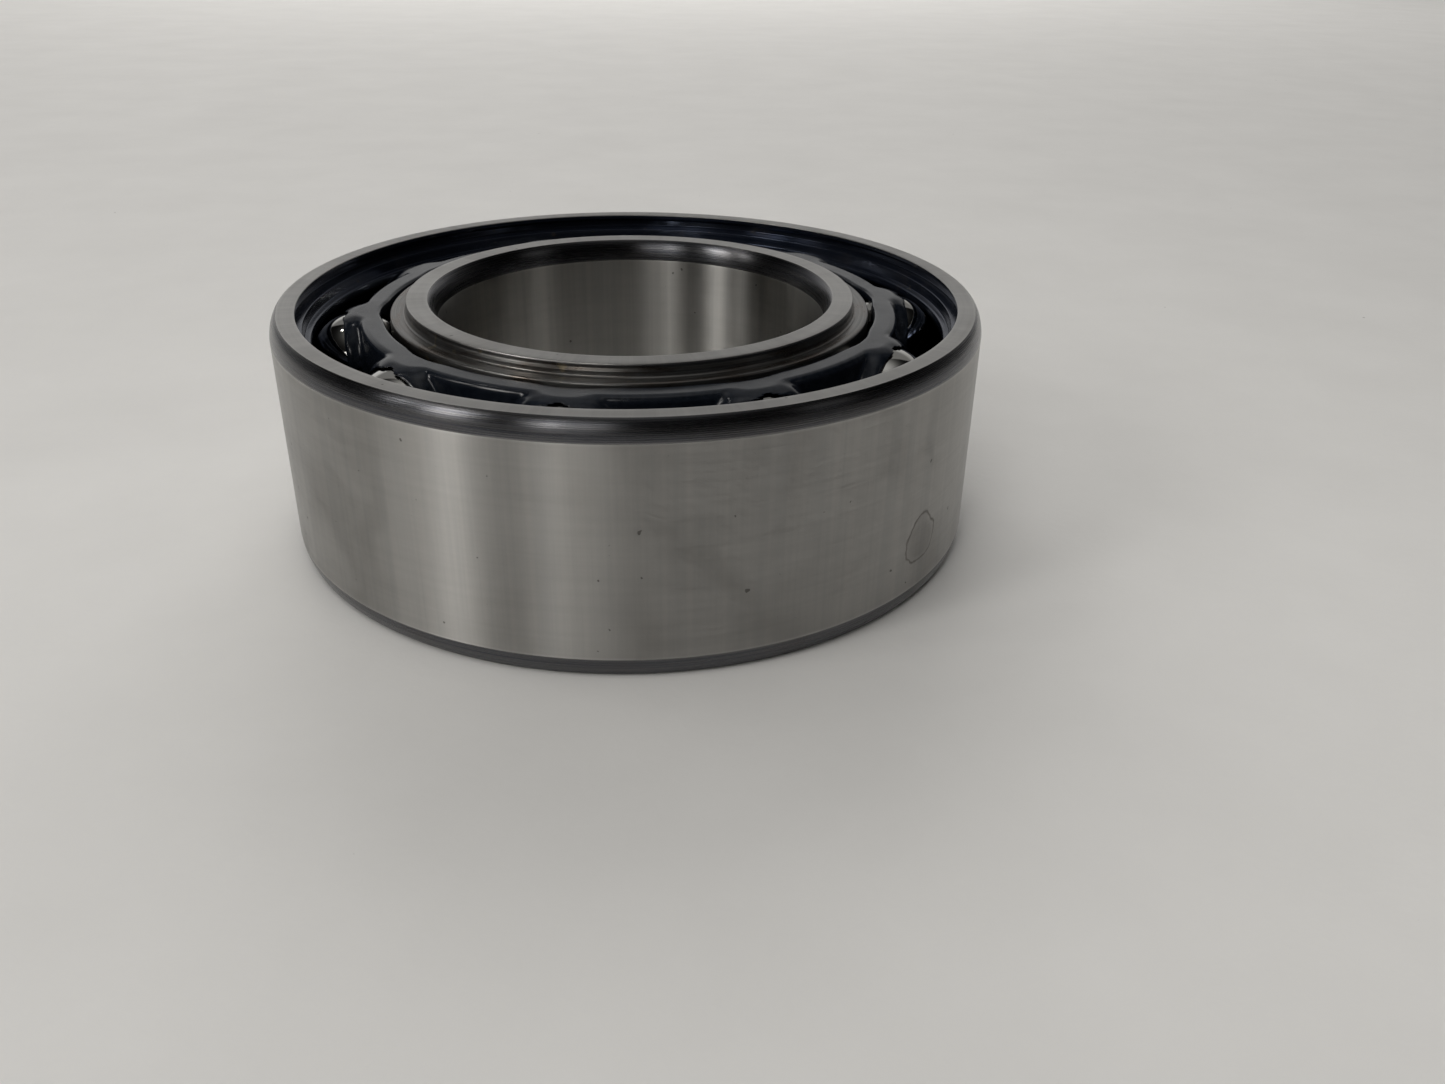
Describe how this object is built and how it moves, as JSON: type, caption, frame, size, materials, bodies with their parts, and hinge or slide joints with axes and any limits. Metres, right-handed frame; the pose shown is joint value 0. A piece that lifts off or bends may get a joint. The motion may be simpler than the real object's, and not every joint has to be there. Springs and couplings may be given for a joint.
{
  "type": "angular contact bearing",
  "caption": "Open double-row angular contact ball bearing: rows of balls in snap cages roll between an inner ring and an outer ring.",
  "frame": {"origin": "centre of the bearing, on its axis and midway between the side faces", "axes": "+Z along the bearing's axis, out of the side that the picture shows; +X to the right in the picture"},
  "size_m": [0.09, 0.09, 0.0302],
  "materials": {
    "ring_steel": "ground satin, turned darker at the corners",
    "ball_steel": "mirror polished",
    "cage_polyamide": "black glass-filled polyamide, wet with oil"
  },
  "bodies": {
    "outer_ring": {"outer_ring": "ring_steel"},
    "inner_ring": {"inner_ring": "ring_steel"},
    "cage_upper": {"cage_upper": "cage_polyamide"},
    "ball_upper_01": {"ball_upper_01": "ball_steel"},
    "ball_upper_02": {"ball_upper_02": "ball_steel"},
    "ball_upper_03": {"ball_upper_03": "ball_steel"},
    "ball_upper_04": {"ball_upper_04": "ball_steel"},
    "ball_upper_05": {"ball_upper_05": "ball_steel"},
    "ball_upper_06": {"ball_upper_06": "ball_steel"},
    "ball_upper_07": {"ball_upper_07": "ball_steel"},
    "ball_upper_08": {"ball_upper_08": "ball_steel"},
    "ball_upper_09": {"ball_upper_09": "ball_steel"},
    "ball_upper_10": {"ball_upper_10": "ball_steel"},
    "cage_lower": {"cage_lower": "cage_polyamide"},
    "ball_lower_01": {"ball_lower_01": "ball_steel"},
    "ball_lower_02": {"ball_lower_02": "ball_steel"},
    "ball_lower_03": {"ball_lower_03": "ball_steel"},
    "ball_lower_04": {"ball_lower_04": "ball_steel"},
    "ball_lower_05": {"ball_lower_05": "ball_steel"},
    "ball_lower_06": {"ball_lower_06": "ball_steel"},
    "ball_lower_07": {"ball_lower_07": "ball_steel"},
    "ball_lower_08": {"ball_lower_08": "ball_steel"},
    "ball_lower_09": {"ball_lower_09": "ball_steel"},
    "ball_lower_10": {"ball_lower_10": "ball_steel"}
  },
  "joints": [
    {"name": "inner_ring_spin", "type": "hinge", "parent": "outer_ring", "child": "inner_ring", "pos_m": [0, 0, 0], "axis": [0, 0, 1], "continuous": true},
    {"name": "cage_upper_orbit", "type": "hinge", "parent": "outer_ring", "child": "cage_upper", "pos_m": [0, 0, 0], "axis": [0, 0, 1], "continuous": true},
    {"name": "ball_upper_01_roll", "type": "hinge", "parent": "cage_upper", "child": "ball_upper_01", "pos_m": [0.03484, 0.00329, 0.00665], "axis": [0.4978, 0.0471, 0.866], "continuous": true},
    {"name": "ball_upper_02_roll", "type": "hinge", "parent": "cage_upper", "child": "ball_upper_02", "pos_m": [0.02625, 0.02315, 0.00665], "axis": [0.3751, 0.3307, 0.866], "continuous": true},
    {"name": "ball_upper_03_roll", "type": "hinge", "parent": "cage_upper", "child": "ball_upper_03", "pos_m": [0.00764, 0.03416, 0.00665], "axis": [0.1091, 0.488, 0.866], "continuous": true},
    {"name": "ball_upper_04_roll", "type": "hinge", "parent": "cage_upper", "child": "ball_upper_04", "pos_m": [-0.0139, 0.03212, 0.00665], "axis": [-0.1986, 0.4589, 0.866], "continuous": true},
    {"name": "ball_upper_05_roll", "type": "hinge", "parent": "cage_upper", "child": "ball_upper_05", "pos_m": [-0.03013, 0.01782, 0.00665], "axis": [-0.4304, 0.2545, 0.866], "continuous": true},
    {"name": "ball_upper_06_roll", "type": "hinge", "parent": "cage_upper", "child": "ball_upper_06", "pos_m": [-0.03484, -0.00329, 0.00665], "axis": [-0.4978, -0.0471, 0.866], "continuous": true},
    {"name": "ball_upper_07_roll", "type": "hinge", "parent": "cage_upper", "child": "ball_upper_07", "pos_m": [-0.02625, -0.02315, 0.00665], "axis": [-0.3751, -0.3307, 0.866], "continuous": true},
    {"name": "ball_upper_08_roll", "type": "hinge", "parent": "cage_upper", "child": "ball_upper_08", "pos_m": [-0.00764, -0.03416, 0.00665], "axis": [-0.1091, -0.488, 0.866], "continuous": true},
    {"name": "ball_upper_09_roll", "type": "hinge", "parent": "cage_upper", "child": "ball_upper_09", "pos_m": [0.0139, -0.03212, 0.00665], "axis": [0.1986, -0.4589, 0.866], "continuous": true},
    {"name": "ball_upper_10_roll", "type": "hinge", "parent": "cage_upper", "child": "ball_upper_10", "pos_m": [0.03013, -0.01782, 0.00665], "axis": [0.4304, -0.2545, 0.866], "continuous": true},
    {"name": "cage_lower_orbit", "type": "hinge", "parent": "outer_ring", "child": "cage_lower", "pos_m": [0, 0, 0], "axis": [0, 0, 1], "continuous": true},
    {"name": "ball_lower_01_roll", "type": "hinge", "parent": "cage_lower", "child": "ball_lower_01", "pos_m": [0.03301, 0.01163, -0.00665], "axis": [-0.4716, -0.1661, 0.866], "continuous": true},
    {"name": "ball_lower_02_roll", "type": "hinge", "parent": "cage_lower", "child": "ball_lower_02", "pos_m": [0.03354, -0.01, -0.00665], "axis": [-0.4792, 0.1428, 0.866], "continuous": true},
    {"name": "ball_lower_03_roll", "type": "hinge", "parent": "cage_lower", "child": "ball_lower_03", "pos_m": [0.02126, -0.0278, -0.00665], "axis": [-0.3037, 0.3972, 0.866], "continuous": true},
    {"name": "ball_lower_04_roll", "type": "hinge", "parent": "cage_lower", "child": "ball_lower_04", "pos_m": [0.00086, -0.03499, -0.00665], "axis": [-0.0122, 0.4999, 0.866], "continuous": true},
    {"name": "ball_lower_05_roll", "type": "hinge", "parent": "cage_lower", "child": "ball_lower_05", "pos_m": [-0.01987, -0.02881, -0.00665], "axis": [0.2839, 0.4116, 0.866], "continuous": true},
    {"name": "ball_lower_06_roll", "type": "hinge", "parent": "cage_lower", "child": "ball_lower_06", "pos_m": [-0.03301, -0.01163, -0.00665], "axis": [0.4716, 0.1661, 0.866], "continuous": true},
    {"name": "ball_lower_07_roll", "type": "hinge", "parent": "cage_lower", "child": "ball_lower_07", "pos_m": [-0.03354, 0.01, -0.00665], "axis": [0.4792, -0.1428, 0.866], "continuous": true},
    {"name": "ball_lower_08_roll", "type": "hinge", "parent": "cage_lower", "child": "ball_lower_08", "pos_m": [-0.02126, 0.0278, -0.00665], "axis": [0.3037, -0.3972, 0.866], "continuous": true},
    {"name": "ball_lower_09_roll", "type": "hinge", "parent": "cage_lower", "child": "ball_lower_09", "pos_m": [-0.00086, 0.03499, -0.00665], "axis": [0.0122, -0.4999, 0.866], "continuous": true},
    {"name": "ball_lower_10_roll", "type": "hinge", "parent": "cage_lower", "child": "ball_lower_10", "pos_m": [0.01987, 0.02881, -0.00665], "axis": [-0.2839, -0.4116, 0.866], "continuous": true}
  ],
  "couplings": [
    {"joint": "cage_upper_orbit", "follows": "inner_ring_spin", "ratio": 0.42144},
    {"joint": "ball_upper_01_roll", "follows": "inner_ring_spin", "ratio": -2.6879},
    {"joint": "ball_upper_02_roll", "follows": "inner_ring_spin", "ratio": -2.6879},
    {"joint": "ball_upper_03_roll", "follows": "inner_ring_spin", "ratio": -2.6879},
    {"joint": "ball_upper_04_roll", "follows": "inner_ring_spin", "ratio": -2.6879},
    {"joint": "ball_upper_05_roll", "follows": "inner_ring_spin", "ratio": -2.6879},
    {"joint": "ball_upper_06_roll", "follows": "inner_ring_spin", "ratio": -2.6879},
    {"joint": "ball_upper_07_roll", "follows": "inner_ring_spin", "ratio": -2.6879},
    {"joint": "ball_upper_08_roll", "follows": "inner_ring_spin", "ratio": -2.6879},
    {"joint": "ball_upper_09_roll", "follows": "inner_ring_spin", "ratio": -2.6879},
    {"joint": "ball_upper_10_roll", "follows": "inner_ring_spin", "ratio": -2.6879},
    {"joint": "cage_lower_orbit", "follows": "inner_ring_spin", "ratio": 0.42144},
    {"joint": "ball_lower_01_roll", "follows": "inner_ring_spin", "ratio": -2.6879},
    {"joint": "ball_lower_02_roll", "follows": "inner_ring_spin", "ratio": -2.6879},
    {"joint": "ball_lower_03_roll", "follows": "inner_ring_spin", "ratio": -2.6879},
    {"joint": "ball_lower_04_roll", "follows": "inner_ring_spin", "ratio": -2.6879},
    {"joint": "ball_lower_05_roll", "follows": "inner_ring_spin", "ratio": -2.6879},
    {"joint": "ball_lower_06_roll", "follows": "inner_ring_spin", "ratio": -2.6879},
    {"joint": "ball_lower_07_roll", "follows": "inner_ring_spin", "ratio": -2.6879},
    {"joint": "ball_lower_08_roll", "follows": "inner_ring_spin", "ratio": -2.6879},
    {"joint": "ball_lower_09_roll", "follows": "inner_ring_spin", "ratio": -2.6879},
    {"joint": "ball_lower_10_roll", "follows": "inner_ring_spin", "ratio": -2.6879}
  ]
}
